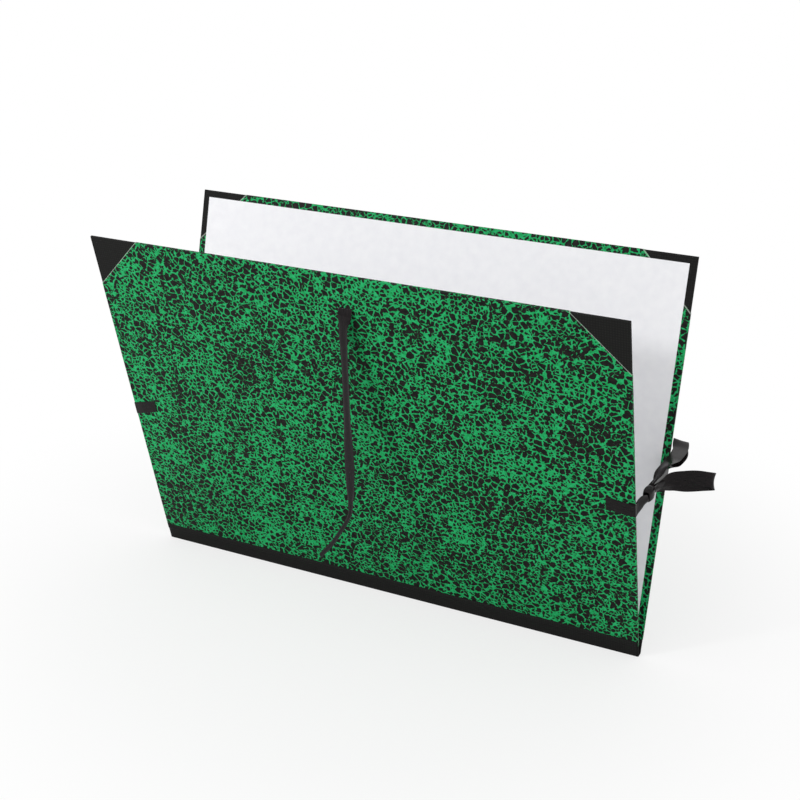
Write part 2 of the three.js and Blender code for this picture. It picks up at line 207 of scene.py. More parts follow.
def marbled_paper():
    """Cover paper marbled on size: green paint pressed into a net by drops of a dark one.

    To the eye it is a bright green net round near-black cells of 2 to 9 mm with ragged edges.
    The threads run together into small patches and break off into larger dark blots, under a
    faint waxed sheen.
    """
    material, tree = new_material("marbled_paper")
    place = add(tree, "ShaderNodeTexCoord", out="Object")

    # The wet paint wanders, so every outline is bent by up to 1.7 mm, by a noise 4.5 mm wide.
    bend = 3.4 * MM
    wander = add(
        tree,
        "ShaderNodeTexNoise",
        inputs={"Vector": place, "Scale": 1 / (4.5 * MM), "Detail": 2.5, "Roughness": 0.6},
        out="Color",
    )
    centred = add(
        tree,
        "ShaderNodeVectorMath",
        {"operation": "SUBTRACT"},
        {0: wander, 1: (0.5, 0.5, 0.5)},
    )
    pushed = add(
        tree,
        "ShaderNodeVectorMath",
        {"operation": "MULTIPLY_ADD"},
        {0: centred, 1: (bend, bend, bend), 2: place},
    )

    # Drops of two sizes in turn, each pressing its neighbours into cells. Both distances from
    # a cell's edge are brought to millimetres.
    large, small = 8.8, 5.6
    coarse = add(
        tree,
        "ShaderNodeTexVoronoi",
        {"feature": "DISTANCE_TO_EDGE"},
        {"Vector": pushed, "Scale": 1 / (large * MM), "Randomness": 1.0},
        out="Distance",
    )
    fine = add(
        tree,
        "ShaderNodeTexVoronoi",
        {"feature": "DISTANCE_TO_EDGE"},
        {"Vector": pushed, "Scale": 1 / (small * MM), "Randomness": 1.0},
        out="Distance",
    )
    coarse = add(tree, "ShaderNodeMath", {"operation": "MULTIPLY"}, {0: coarse, 1: large})
    fine = add(tree, "ShaderNodeMath", {"operation": "MULTIPLY"}, {0: fine, 1: small})
    region = add(
        tree,
        "ShaderNodeTexNoise",
        inputs={"Vector": place, "Scale": 1 / (20 * MM), "Detail": 2.0},
        out="Fac",
    )
    region = add(
        tree,
        "ShaderNodeMapRange",
        inputs={"Value": region, "From Min": 0.44, "From Max": 0.54},
    )
    edge = add(
        tree,
        "ShaderNodeMix",
        inputs={"Factor": region, "A": coarse, "B": fine},
        out="Result",
    )

    # A thread reaches up to 1.3 mm from a cell's edge, and swells and breaks off with a noise
    # 7 mm wide. Clouds of 75 mm thin it where the size was damp.
    swell = add(
        tree,
        "ShaderNodeTexNoise",
        inputs={"Vector": pushed, "Scale": 1 / (7 * MM), "Detail": 2.0, "Roughness": 0.55},
        out="Fac",
    )
    cloud = add(
        tree,
        "ShaderNodeTexNoise",
        inputs={"Vector": place, "Scale": 1 / (75 * MM), "Detail": 2.0, "Roughness": 0.5},
        out="Fac",
    )
    thread = add(
        tree,
        "ShaderNodeMapRange",
        {"clamp": False},
        {"Value": swell, "From Min": 0.3, "From Max": 0.7, "To Min": 0.05, "To Max": 1.17},
    )
    thinned = add(
        tree,
        "ShaderNodeMapRange",
        {"clamp": False},
        {"Value": cloud, "From Min": 0.3, "From Max": 0.7, "To Min": -0.2, "To Max": 0.16},
    )
    thread = add(tree, "ShaderNodeMath", {"operation": "ADD"}, {0: thread, 1: thinned})
    paint = add(tree, "ShaderNodeMath", {"operation": "SUBTRACT"}, {0: thread, 1: edge})
    soft = 0.14
    share = add(
        tree,
        "ShaderNodeMapRange",
        inputs={"Value": paint, "From Min": -soft, "From Max": soft},
    )

    tint = add(
        tree,
        "ShaderNodeTexNoise",
        inputs={"Vector": place, "Scale": 1 / (4 * MM), "Detail": 2.0},
        out="Fac",
    )
    tone = add(
        tree,
        "ShaderNodeMapRange",
        inputs={"Value": tint, "From Min": 0.35, "From Max": 0.65},
    )
    green = add(
        tree,
        "ShaderNodeMix",
        {"data_type": "RGBA"},
        {"Factor": tone, "A": linear("paint_green"), "B": linear("paint_bright_green")},
        out="Result",
    )
    dark = add(
        tree,
        "ShaderNodeMix",
        {"data_type": "RGBA"},
        {"Factor": tone, "A": linear("paint_black"), "B": linear("paint_brown")},
        out="Result",
    )
    marbling = add(
        tree,
        "ShaderNodeMix",
        {"data_type": "RGBA"},
        {"Factor": share, "A": dark, "B": green},
        out="Result",
    )

    # The white core shows as a hair along the cut corners, 0.25 mm wide on the real paper and
    # drawn at 0.9 mm so that it shows. On a cut corner the distance from the middle and the
    # height up the cover have a fixed sum.
    outward = add(tree, "ShaderNodeSeparateXYZ", inputs={"Vector": place}, out="X")
    upward = add(tree, "ShaderNodeSeparateXYZ", inputs={"Vector": place}, out="Z")
    outward = add(tree, "ShaderNodeMath", {"operation": "ABSOLUTE"}, {0: outward})
    total = add(
        tree,
        "ShaderNodeMath",
        {"operation": "MULTIPLY_ADD"},
        {0: upward, 1: 1 / math.cos(LEAN), 2: outward},
    )
    outer = BOARD_OUTER + PAPER_LEVEL
    lowered = (FOLD_HEIGHT - outer * math.sin(LEAN)) / math.cos(LEAN)
    cut = HALF_WIDTH + COVER_HEIGHT - PAPER_CORNER + lowered
    core = add(
        tree,
        "ShaderNodeMapRange",
        inputs={
            "Value": total,
            "From Min": cut - 1.3 * MM,
            "From Max": cut - 1.1 * MM,
            "To Max": 0.5,
        },
    )
    colour = add(
        tree,
        "ShaderNodeMix",
        {"data_type": "RGBA"},
        {"Factor": core, "A": marbling, "B": linear("paper_core")},
        out="Result",
    )
    # Paper fibres are 0.02 mm wide, so the tooth is drawn at 1.2 mm so that it shows.
    fibre = add(
        tree,
        "ShaderNodeTexNoise",
        inputs={"Vector": place, "Scale": 1 / (1.2 * MM), "Detail": 3.0},
        out="Fac",
    )
    bump = add(
        tree,
        "ShaderNodeBump",
        inputs={"Strength": 0.2, "Distance": 0.05 * MM, "Height": fibre},
    )
    shader = add(
        tree,
        "ShaderNodeBsdfPrincipled",
        inputs={"Base Color": colour, "Roughness": 0.5, "Specular IOR Level": 0.12, "Normal": bump},
    )
    add(tree, "ShaderNodeOutputMaterial", inputs={"Surface": shader})
    return material


def book_cloth():
    """Black bookbinding buckram: plain cotton weave filled with starch, dull and fine-grained."""
    material, tree = new_material("book_cloth")
    place = add(tree, "ShaderNodeTexCoord", out="Object")
    # Real threads are 0.4 mm apart, drawn at 0.5 mm so that they show. A wave's scale counts
    # a twentieth of its period.
    period = 0.5 * MM
    warp = add(
        tree,
        "ShaderNodeTexWave",
        {"wave_type": "BANDS", "bands_direction": "X"},
        {"Vector": place, "Scale": 1 / (period * 20), "Distortion": 0.6, "Detail": 1.0},
        out="Fac",
    )
    weft = add(
        tree,
        "ShaderNodeTexWave",
        {"wave_type": "BANDS", "bands_direction": "Z"},
        {"Vector": place, "Scale": 1 / (period * 20), "Distortion": 0.6, "Detail": 1.0},
        out="Fac",
    )
    weave = add(tree, "ShaderNodeMath", {"operation": "MULTIPLY"}, {0: warp, 1: weft})
    slub = add(
        tree,
        "ShaderNodeTexNoise",
        inputs={"Vector": place, "Scale": 1 / (4 * MM), "Detail": 4.0},
        out="Fac",
    )
    thread = add(tree, "ShaderNodeMath", {"operation": "MULTIPLY"}, {0: weave, 1: slub})
    share = add(tree, "ShaderNodeMapRange", inputs={"Value": thread, "From Max": 0.5})
    colour = add(
        tree,
        "ShaderNodeMix",
        {"data_type": "RGBA"},
        {"Factor": share, "A": linear("cloth_gap"), "B": linear("cloth_thread")},
        out="Result",
    )
    bump = add(
        tree,
        "ShaderNodeBump",
        inputs={"Strength": 0.25, "Distance": 0.06 * MM, "Height": weave},
    )
    shader = add(
        tree,
        "ShaderNodeBsdfPrincipled",
        inputs={"Base Color": colour, "Roughness": 0.7, "Specular IOR Level": 0.14, "Normal": bump},
    )
    add(tree, "ShaderNodeOutputMaterial", inputs={"Surface": shader})
    return material


def lining_paper():
    """White wove lining paper: smooth, bright and a little cool, with faint clouds of fibre."""
    material, tree = new_material("lining_paper")
    place = add(tree, "ShaderNodeTexCoord", out="Object")
    formation = add(
        tree,
        "ShaderNodeTexNoise",
        inputs={"Vector": place, "Scale": 1 / (12 * MM), "Detail": 5.0},
        out="Fac",
    )
    share = add(
        tree,
        "ShaderNodeMapRange",
        inputs={"Value": formation, "From Min": 0.3, "From Max": 0.7},
    )
    colour = add(
        tree,
        "ShaderNodeMix",
        {"data_type": "RGBA"},
        {"Factor": share, "A": linear("lining_shade"), "B": linear("lining")},
        out="Result",
    )
    # The tooth is 0.1 mm wide, drawn at 0.8 mm so that it shows.
    tooth = add(
        tree,
        "ShaderNodeTexNoise",
        inputs={"Vector": place, "Scale": 1 / (0.8 * MM), "Detail": 2.0},
        out="Fac",
    )
    bump = add(
        tree,
        "ShaderNodeBump",
        inputs={"Strength": 0.1, "Distance": 0.04 * MM, "Height": tooth},
    )
    shader = add(
        tree,
        "ShaderNodeBsdfPrincipled",
        inputs={"Base Color": colour, "Roughness": 0.75, "Specular IOR Level": 0.3, "Normal": bump},
    )
    add(tree, "ShaderNodeOutputMaterial", inputs={"Surface": shader})
    return material


def grey_board():
    """Greyboard of pulped waste paper: dull grey-brown with dark flecks, seen in the slots."""
    material, tree = new_material("grey_board")
    place = add(tree, "ShaderNodeTexCoord", out="Object")
    pulp = add(
        tree,
        "ShaderNodeTexNoise",
        inputs={"Vector": place, "Scale": 1 / (1.5 * MM), "Detail": 4.0},
        out="Fac",
    )
    share = add(
        tree,
        "ShaderNodeMapRange",
        inputs={"Value": pulp, "From Min": 0.35, "From Max": 0.6},
    )
    colour = add(
        tree,
        "ShaderNodeMix",
        {"data_type": "RGBA"},
        {"Factor": share, "A": linear("board_fleck"), "B": linear("board")},
        out="Result",
    )
    shader = add(tree, "ShaderNodeBsdfPrincipled", inputs={"Base Color": colour, "Roughness": 0.9})
    add(tree, "ShaderNodeOutputMaterial", inputs={"Surface": shader})
    return material


def satin_ribbon():
    """Black woven satin ribbon: long warp threads float along it, so it has a stretched soft gloss,
    with a painted sheen of lighter streaks.

    It reads the strap's own UV map in metres of ribbon: u across it and v along it.
    """
    material, tree = new_material("satin_ribbon")
    place = add(tree, "ShaderNodeUVMap", {"uv_map": "strap"})
    # Warp threads are 0.15 mm apart, drawn at 0.6 mm so that they show. A wave's scale counts
    # a twentieth of its period.
    period = 0.6 * MM
    warp = add(
        tree,
        "ShaderNodeTexWave",
        {"wave_type": "BANDS", "bands_direction": "X"},
        {"Vector": place, "Scale": 1 / (period * 20), "Distortion": 0.3, "Detail": 1.0},
        out="Fac",
    )
    # Painted sheen: lighter stretched streaks along the warp, 1.2 mm wide and eight times as long
    # as they are wide.
    stretched = add(tree, "ShaderNodeMapping", inputs={"Vector": place, "Scale": (1.0, 0.125, 1.0)})
    sheen_streaks = add(
        tree,
        "ShaderNodeTexNoise",
        {"noise_dimensions": "2D"},
        {"Vector": stretched, "Scale": 1 / (1.2 * MM), "Detail": 3.0},
        out="Fac",
    )
    share = add(
        tree,
        "ShaderNodeMapRange",
        inputs={"Value": sheen_streaks, "From Min": 0.3, "From Max": 0.7},
    )
    # Mixes the lighter streaks of painted sheen into the black satin.
    colour = add(
        tree,
        "ShaderNodeMix",
        {"data_type": "RGBA"},
        {"Factor": share, "A": linear("satin"), "B": linear("satin_float_sheen")},
        out="Result",
    )
    bump = add(
        tree,
        "ShaderNodeBump",
        inputs={"Strength": 0.15, "Distance": 0.04 * MM, "Height": warp},
    )
    shader = add(
        tree,
        "ShaderNodeBsdfPrincipled",
        inputs={
            "Base Color": colour,
            "Roughness": 0.24,
            "Specular IOR Level": 0.15,
            "Anisotropic": 0.5,
            "Normal": bump,
        },
    )
    add(tree, "ShaderNodeOutputMaterial", inputs={"Surface": shader})
    return material


# Places on the covers


def standing(side, u, v, w):
    """A cover's own u (along the spine), v (up the cover) and w (outward) as a place in the frame.

    The cover is turned about the fold line by its lean: side is -1 for the front, 1 for the back.
    """
    return np.array(
        [
            u,
            side * (w * math.cos(LEAN) + v * math.sin(LEAN)),
            FOLD_HEIGHT + v * math.cos(LEAN) - w * math.sin(LEAN),
        ]
    )


def corner_at(side, w, height):
    """Where a sheet at distance w from the middle plane comes down to this height."""
    v = (height - FOLD_HEIGHT + w * math.sin(LEAN)) / math.cos(LEAN)
    return standing(side, 0, v, w)


def unit(vectors):
    """The vectors, each divided by its length."""
    vectors = np.asarray(vectors, float)
    return vectors / np.linalg.norm(vectors, axis=-1, keepdims=True)


# Straps. A path is an array with a station in each row: its place, the direction of its width,
# its width, and 1 where the width lies along a crease.


def station(place, across, width=RIBBON_WIDTH, creased=0.0):
    """One row of a path."""
    return np.concatenate([place, across, [width, creased]])


def folded(stations, radius):
    """Each inner station becomes a short quadratic arc, so that the strap folds with a radius.

    The arc's point at t is (1-t)^2 start + 2t(1-t) corner + t^2 end.
    """
    path = np.array(stations)
    here = path[1:-1]
    back, on = path[:-2, :3] - here[:, :3], path[2:, :3] - here[:, :3]
    third = np.minimum(np.linalg.norm(back, axis=1), np.linalg.norm(on, axis=1)) / 3
    pull = np.minimum(radius, third)[:, None]
    start, end = here[:, :3] + unit(back) * pull, here[:, :3] + unit(on) * pull
    t = np.linspace(0, 1, FOLD_POINTS)[None, :, None]
    arc = (1 - t) ** 2 * start[:, None] + 2 * t * (1 - t) * here[:, None, :3] + t**2 * end[:, None]
    rest = np.repeat(here[:, None, 3:], t.size, axis=1)
    return np.vstack([path[:1], np.concatenate([arc, rest], axis=2).reshape(-1, 8), path[-1:]])


def flowing(stations, steps):
    """A centripetal Catmull-Rom line through the stations, with widths and directions blended.

    Between two stations the place is the pyramid of straight blends over the knots of the four
    nearest stations, and the rest is blended by 3s^2 - 2s^3 of the share s of the way.
    """
    path = np.array(stations)
    places = path[:, :3]
    padded = np.vstack([2 * places[0] - places[1], places, 2 * places[-1] - places[-2]])
    knots = np.concatenate([[0], np.cumsum(np.linalg.norm(np.diff(padded, axis=0), axis=1) ** 0.5)])
    along = np.linspace(0, len(places) - 1, steps + 1)
    k = np.minimum(along.astype(int), len(places) - 2)
    share = along - k
    now = knots[k + 1] + (knots[k + 2] - knots[k + 1]) * share

    def between(a, b, first, last):
        return a + (b - a) * ((now - knots[first]) / (knots[last] - knots[first]))[:, None]

    a1 = between(padded[k], padded[k + 1], k, k + 1)
    a2 = between(padded[k + 1], padded[k + 2], k + 1, k + 2)
    a3 = between(padded[k + 2], padded[k + 3], k + 2, k + 3)
    b1 = between(a1, a2, k, k + 2)
    b2 = between(a2, a3, k + 1, k + 3)
    smooth = (share * share * (3 - 2 * share))[:, None]
    rest = path[k, 3:] * (1 - smooth) + path[k + 1, 3:] * smooth
    rest[:, :3] = unit(rest[:, :3])
    return np.hstack([between(b1, b2, k + 1, k + 2), rest])


def strap(path, thickness, flat_width, closed=False):
    """A flat oval section carried along the path: its points, faces and uvs.

    At angle a the section is half the width times cos a along the width, and half the thickness
    times sin a raised to 0.35 along the face, so that its faces stay flat. Where it is gathered
    it is pleated too, by cos 3a times the share of the width that is lost. A closed strap is a
    knot's band, crowned by the square of sin a, so that its edges draw in.
    """
    places, acrosses, widths, creased = path[:, :3], path[:, 3:6], path[:, 6], path[:, 7]
    if closed:
        along = unit(np.roll(places, -1, axis=0) - np.roll(places, 1, axis=0))
    else:
        along = unit(np.gradient(places, axis=0))
    square = unit(acrosses - (acrosses * along).sum(axis=1)[:, None] * along)
    acrosses = np.where(creased[:, None] > 0.5, acrosses, square)
    facing = unit(np.cross(along, acrosses))
    around = SECTION_POINTS
    angle = 2 * np.pi * np.arange(around) / around
    wide = np.cos(angle)
    thick = np.sign(np.sin(angle)) * np.abs(np.sin(angle)) ** 0.35 * thickness / 2
    if closed:
        lift = thick[None, :] + KNOT_CROWN * (np.sin(angle) ** 2 - 0.5)[None, :]
    else:
        lost = np.clip(1 - widths / flat_width, 0, 1)
        lift = thick[None, :] + PLEAT * lost[:, None] * np.cos(3 * angle)[None, :]
    points = (
        places[:, None]
        + acrosses[:, None] * (wide[None, :, None] * widths[:, None, None] / 2)
        + facing[:, None] * lift[:, :, None]
    )
    count = len(path)
    run = np.concatenate([[0], np.cumsum(np.linalg.norm(np.diff(places, axis=0), axis=1))])
    i, k = np.meshgrid(np.arange(count if closed else count - 1), np.arange(around), indexing="ij")
    j, n = (i + 1) % count, (k + 1) % around
    quads = np.stack([i * around + k, i * around + n, j * around + n, j * around + k], -1)
    faces = quads.reshape(-1, 4).tolist()
    if not closed:
        ring = np.arange(around)
        faces += [ring[::-1].tolist(), (ring + (count - 1) * around).tolist()]
    uv = np.stack(np.broadcast_arrays(wide[None, :] * flat_width / 2, run[:, None]), -1)
    return points.reshape(-1, 3), faces, uv.reshape(-1, 2)


def mesh_object(name, straps, material):
    """One smooth object at the origin made of these straps, with their uvs on its map."""
    points = np.vstack([s[0] for s in straps])
    uv = np.vstack([s[2] for s in straps])
    starts = np.concatenate([[0], np.cumsum([len(s[0]) for s in straps])])
    faces = [[v + int(start) for v in face] for s, start in zip(straps, starts) for face in s[1]]
    mesh = bpy.data.meshes.new(name)
    mesh.from_pydata(points.tolist(), [], faces)
    layer = mesh.uv_layers.new(name="strap")
    layer.data.foreach_set("uv", uv[np.concatenate(faces)].astype(np.float32).reshape(-1))
    mesh.materials.append(material)
    mesh.polygons.foreach_set("use_smooth", [True] * len(mesh.polygons))
    mesh.update()
    obj = bpy.data.objects.new(name, mesh)
    bpy.context.scene.collection.objects.link(obj)
    return obj


# The ribbons


def side_run(side, hand, drop):
    """From the glued tab, out through a side slot, across the face and round the side edge.

    The ribbon slants by its drop and keeps its slope through every fold, as a flat strip does.
    """
    up = standing(side, 0, 1, 0) - standing(side, 0, 0, 0)
    slot = HALF_WIDTH - SLOT_INSET
    face = BOARD_OUTER + RIBBON_LEVEL
    inner = BOARD_INNER - TAB_LEVEL
    past = HALF_WIDTH + RIBBON_LEVEL + EDGE_SLACK
    bulge = HALF_WIDTH - SLOT_INSET / 3
    # Each place has its length along the strip, counted from where it comes out of the slot.
    places = [
        (slot - TAB_LENGTH, inner, inner - face - TAB_LENGTH),
        (slot, inner, inner - face),
        (slot, face, 0),
        (bulge, face + BEND_RADIUS, bulge - slot),
        (past, face, past - slot),
        (past, BOARD_INNER, past - slot + face - BOARD_INNER),
    ]
    slope = drop / SLOT_INSET
    return [
        station(standing(side, hand * u, SIDE_SLOT_HEIGHT - slope * length, w), up, creased=1)
        for u, w, length in places
    ]


def knot_frame(hand):
    """The knot's centre and its directions: through it to the back, up it, and outward."""
    centre = np.array([hand * (HALF_WIDTH + KNOT_REACH), -KNOT_FORWARD, KNOT_HEIGHT])
    through = unit(KNOT_THROUGH * np.array([hand, 1, 1]))
    up = unit(np.array([0, 0, 1]) - through * through[2])
    return centre, through, up, -hand * np.cross(up, through)


def held(hand, along, layer):
    """A strand held in the knot, at a distance along it and in one of its layers."""
    centre, through, up, out = knot_frame(hand)
    return station(centre + through * along + out * layer * STRAND_SPACING, up, GATHERED_WIDTH)


def loop(hand, layers, reach, rows):
    """A loop of a bow, out of the knot and back into it, through the rows of one of the tables."""
    centre = knot_frame(hand)[0]
    inside, mouth = -KNOT_LENGTH / 4, KNOT_LENGTH / 2 + KNOT_LIP
    middle = [
        station(
            centre + np.array([hand * out, backward, rise]) * reach,
            unit([hand * across[0], across[1], across[2]]),
            width * RIBBON_WIDTH,
        )
        for out, backward, rise, width, across in rows
    ]
    return [
        held(hand, inside, layers[0]),
        held(hand, mouth, layers[0]),
        *middle,
        held(hand, mouth, layers[1]),
        held(hand, inside, layers[1]),
    ]


# Each row is a place on a loop, in shares of the loop's reach: outward, backward and upward
# from the knot. Then come its width, in shares of the ribbon's, and the width's direction.
UPRIGHT = (0, 0, 1)
SIDE_LOOP = [
    (0.13, 0.44, 0.04, 0.75, UPRIGHT),
    (0.27, 0.59, 0.11, 0.95, UPRIGHT),
    (0.49, 0.66, 0.15, 1, UPRIGHT),
    (0.74, 0.69, 0.2, 1, UPRIGHT),
    (0.94, 0.74, 0.19, 1, UPRIGHT),
    (1.02, 0.83, 0.14, 1, UPRIGHT),
    (0.99, 0.94, 0.04, 1, UPRIGHT),
    (0.8, 0.99, -0.05, 1, UPRIGHT),
    (0.5, 0.9, -0.1, 1, UPRIGHT),
    (0.27, 0.72, -0.05, 0.95, UPRIGHT),
    (0.15, 0.47, 0, 0.75, UPRIGHT),
]
REAR_LOOP = [
    (0.03, 0.26, 0.15, 0.7, (1, 0, 0.4)),
    (0.07, 0.55, 0.15, 0.95, (1, 0, 0)),
    (0.055, 0.83, 0.145, 1, (1, 0, 0)),
    (0.01, 0.98, 0.155, 1, (1, 0, -0.15)),
    (0, 1, 0.125, 1, (1, 0, -0.15)),
    (0.01, 0.97, 0.095, 1, (1, 0, -0.15)),
    (0.055, 0.83, 0.07, 1, (1, 0, 0)),
    (0.07, 0.55, 0.09, 0.95, (1, 0, 0)),
    (0.03, 0.26, 0.12, 0.7, (1, 0, 0.4)),
]
DROOPING_LOOP = [
    (0.13, 0.44, 0, 0.7, UPRIGHT),
    (0.2, 0.63, -0.26, 1, (0.3, 1, 0.3)),
    (0.24, 0.7, -0.81, 1, (0.3, 1, 0)),
    (0.19, 0.72, -1, 1, (0.3, 1, 0)),
    (0.11, 0.7, -0.81, 1, (0.3, 1, 0)),
    (0.06, 0.56, -0.26, 0.8, (0.3, 1, 0.3)),
]
# Each row of a top ribbon's fall is a share of the hanging length down, one sideways, a share of
# the width, and the width's direction: along the cover and away from it.
FALL = [
    (0.026, 0, 1, (1, 0)),
    (0.075, -0.006, 0.79, (0.96, 0.28)),
    (0.23, -0.001, 0.74, (0.92, 0.39)),
    (0.4, 0.004, 0.76, (0.92, 0.39)),
    (0.54, 0.01, 0.9, (0.95, 0.31)),
    (0.6, 0.012, 0.95, (0.95, 0.31)),
    (0.68, 0.0135, 0.85, (0.94, 0.34)),
    (0.75, 0.0135, 0.63, (0.9, 0.43)),
    (0.785, 0.012, 0.53, (0.85, 0.53)),
    (0.82, 0, 0.5, (0.8, 0.6)),
    (0.865, -0.025, 0.5, (0.8, 0.6)),
    (0.935, -0.068, 0.53, (0.8, 0.6)),
    (1, -0.121, 0.5, (0.8, 0.6)),
]


def tied_front_ribbon(hand, drop, reach, rows):
    """The front ribbon rises from the cover's edge, goes through the knot and makes a loop."""
    run = side_run(-1, hand, drop)
    entry = held(hand, -KNOT_LENGTH / 2 - KNOT_LIP, FRONT_LAYERS[0])
    rising = (1 - RISE_SHARE) * run[-1][:3] + RISE_SHARE * entry[:3]
    rising[2] += STRAND_RISE
    strand = [run[-1], station(rising, UPRIGHT, 0.9 * RIBBON_WIDTH), entry]
    bow = loop(hand, FRONT_LAYERS, reach, rows)
    parts = folded(run, BEND_RADIUS), flowing(strand, STRAND_STEPS)[1:], flowing(bow, LOOP_STEPS)
    return np.vstack(parts)


def tied_back_ribbon(hand):
    """The back ribbon is drawn forward into the knot, turns back inside it and makes a loop."""
    run = side_run(1, hand, BACK_RIBBON_DROP)
    turn = -KNOT_LENGTH / 4
    inward = [
        held(hand, KNOT_LENGTH / 2 + 2 * KNOT_LIP, BACK_STRAND_LAYER),
        held(hand, turn, BACK_STRAND_LAYER),
        held(hand, turn - KNOT_LIP, BACK_TURN_LAYER),
    ]
    bow = loop(hand, BACK_LAYERS, REAR_LOOP_REACH, REAR_LOOP)
    return np.vstack([folded(run, BEND_RADIUS), inward, flowing(bow, LOOP_STEPS)])


def hanging_ribbon(side):
    """A top ribbon comes out of its slot, folds over and hangs down, free of the cover."""
    along = (1, 0, 0)
    inner = BOARD_INNER - TAB_LEVEL
    mouth = standing(side, TOP_SLOT_SHIFT, TOP_SLOT, BOARD_OUTER + RIBBON_LEVEL)
    free = [
        station(
            mouth + np.array([shift, 0, -drop]) * HANGING_LENGTH + (0, side * HANGING_GAP, 0),
            unit((sideways, side * away, 0)),
            width * RIBBON_WIDTH,
        )
        for drop, shift, width, (sideways, away) in FALL
    ]
    tab = [
        station(standing(side, TOP_SLOT_SHIFT, TOP_SLOT - TAB_LENGTH, inner), along),
        station(standing(side, TOP_SLOT_SHIFT, TOP_SLOT, inner), along),
        station(mouth, along),
        station(free[0][:3], along),
    ]
    return np.vstack([folded(tab, BEND_RADIUS), flowing(free, FALL_STEPS)[1:]])


def knot_band(hand):
    """The turn of ribbon round the strands: a superellipse across the knot, pinched flat.

    At angle a it is half the depth times the signed root of cos a up the knot, and half the
    thickness times the signed root of sin a outward.
    """
    centre, through, up, out = knot_frame(hand)
    angle = 2 * np.pi * (np.arange(KNOT_STEPS) + 0.5) / KNOT_STEPS
    rise = np.sign(np.cos(angle)) * np.sqrt(np.abs(np.cos(angle))) * KNOT_DEPTH / 2
    reach = np.sign(np.sin(angle)) * np.sqrt(np.abs(np.sin(angle))) * KNOT_THICKNESS / 2
    places = centre + up * rise[:, None] + out * reach[:, None]
    # The band's face turns outward for either hand.
    rest = np.concatenate([hand * through, [KNOT_LENGTH, 0]])
    return np.hstack([places, np.tile(rest, (angle.size, 1))])


# The cloth of the spine


def spine_cloth():
    """One sheet round the foot of both covers, over the papers' edges and turned in at its ends."""
    width = 2 * (HALF_WIDTH + CLOTH_LEVEL + CLOTH_THICKNESS / 2)
    flat, lapped = BOARD_OUTER + CLOTH_LEVEL, BOARD_OUTER + LAP_LEVEL
    half = [
        standing(1, 0, SPINE_CLOTH_HEIGHT, lapped),
        standing(1, 0, LAP_FOOT, lapped),
        standing(1, 0, LAP_FOOT - LAP_STEP, flat),
        corner_at(1, flat, CLOTH_THICKNESS / 2),
    ]
    mirror = np.array([1, -1, 1])
    places = [p * mirror for p in half] + half[::-1]
    sheet = folded([station(p, (1, 0, 0), width) for p in places], FOLD_RADIUS)
    straps = [strap(sheet, CLOTH_THICKNESS, width)]
    edge = HALF_WIDTH + CLOTH_LEVEL
    inner = BOARD_INNER - CLOTH_LEVEL
    height = SPINE_CLOTH_HEIGHT - BOARD_FOOT
    middle = (SPINE_CLOTH_HEIGHT + BOARD_FOOT) / 2
    for side, hand in ((-1, -1), (-1, 1), (1, -1), (1, 1)):
        up = standing(side, 0, 1, 0) - standing(side, 0, 0, 0)
        turned = [
            station(standing(side, hand * u, middle, w), up, height, 1)
            for u, w in ((edge, flat), (edge, inner), (HALF_WIDTH - TURN_IN, inner))
        ]
        straps.append(strap(folded(turned, BEND_RADIUS), CLOTH_THICKNESS, height))
    return straps


def joint_cloth():
    """The strip inside the joint, glued to both boards."""
    width = 2 * (HALF_WIDTH - TURN_IN - JOINT_CLOTH_MARGIN)
    inner = BOARD_INNER - CLOTH_LEVEL
    places = [
        standing(-1, 0, JOINT_CLOTH_HEIGHT, inner),
        corner_at(-1, inner, JOINT_CLOTH_FOOT),
        corner_at(1, inner, JOINT_CLOTH_FOOT),
        standing(1, 0, JOINT_CLOTH_HEIGHT, inner),
    ]
    sheet = folded([station(p, (1, 0, 0), width) for p in places], FOLD_RADIUS)
    return [strap(sheet, CLOTH_THICKNESS, width)]


# The scene


def look_from(azimuth, elevation):
    """The direction from the object to a camera or lamp at this azimuth and elevation."""
    turn, rise = math.radians(azimuth), math.radians(elevation)
    level = math.cos(rise)
    return Vector((math.sin(turn) * level, -math.cos(turn) * level, math.sin(rise)))


def place_camera():
    """The camera at the photograph's place and angle."""
    data = bpy.data.cameras.new("camera")
    data.sensor_width = SENSOR_MM
    data.lens = FOCAL_PIXELS / PICTURE_PIXELS * SENSOR_MM
    data.clip_end = CLIP_END
    camera = bpy.data.objects.new("camera", data)
    toward = look_from(CAMERA_AZIMUTH, CAMERA_ELEVATION)
    camera.location = Vector(CAMERA_TARGET) + toward * CAMERA_DISTANCE
    camera.rotation_euler = toward.to_track_quat("Z", "Y").to_euler()
    bpy.context.scene.collection.objects.link(camera)
    bpy.context.scene.camera = camera


def place_lamp(name, azimuth, elevation, distance, size, power):
    """A square soft lamp that shines on the middle of the portfolio."""
    data = bpy.data.lights.new(name, "AREA")
    data.size = size
    data.energy = power
    lamp = bpy.data.objects.new(name, data)
    toward = look_from(azimuth, elevation)
    lamp.location = Vector(LAMP_TARGET) + toward * distance
    lamp.rotation_euler = toward.to_track_quat("Z", "Y").to_euler()
    bpy.context.scene.collection.objects.link(lamp)


